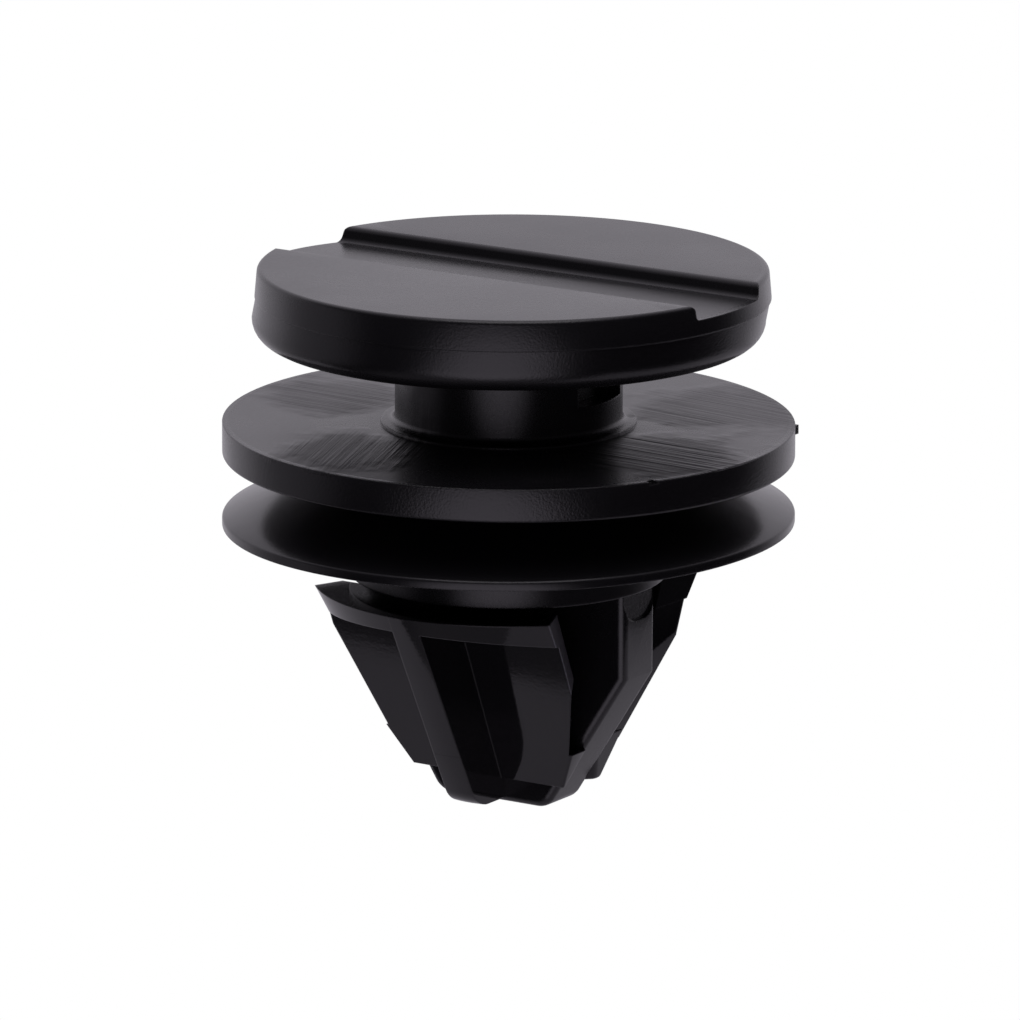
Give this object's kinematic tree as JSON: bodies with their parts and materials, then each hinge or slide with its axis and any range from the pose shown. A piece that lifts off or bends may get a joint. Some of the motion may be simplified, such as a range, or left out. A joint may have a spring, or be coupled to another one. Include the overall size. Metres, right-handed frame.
{
  "type": "retainer clip",
  "caption": "Moulded push-in trim retainer clip: slotted disc head, short neck, round flange, thin sealing skirt and a sprung split anchor with ribbed wings.",
  "frame": {"origin": "on the axis, in the middle of the grip between the sealing skirt's rim and the wings' shelves, where the edge of the panel's hole sits", "axes": "+Z along the axis towards the slotted head; the head's channel and the core blade lie along X, and the two sprung wings face -Y and +Y"},
  "size_m": [0.02, 0.02, 0.019],
  "materials": {
    "nylon": "glossy black moulded nylon"
  },
  "bodies": {
    "root": {"retainer_clip": "nylon"}
  },
  "joints": []
}
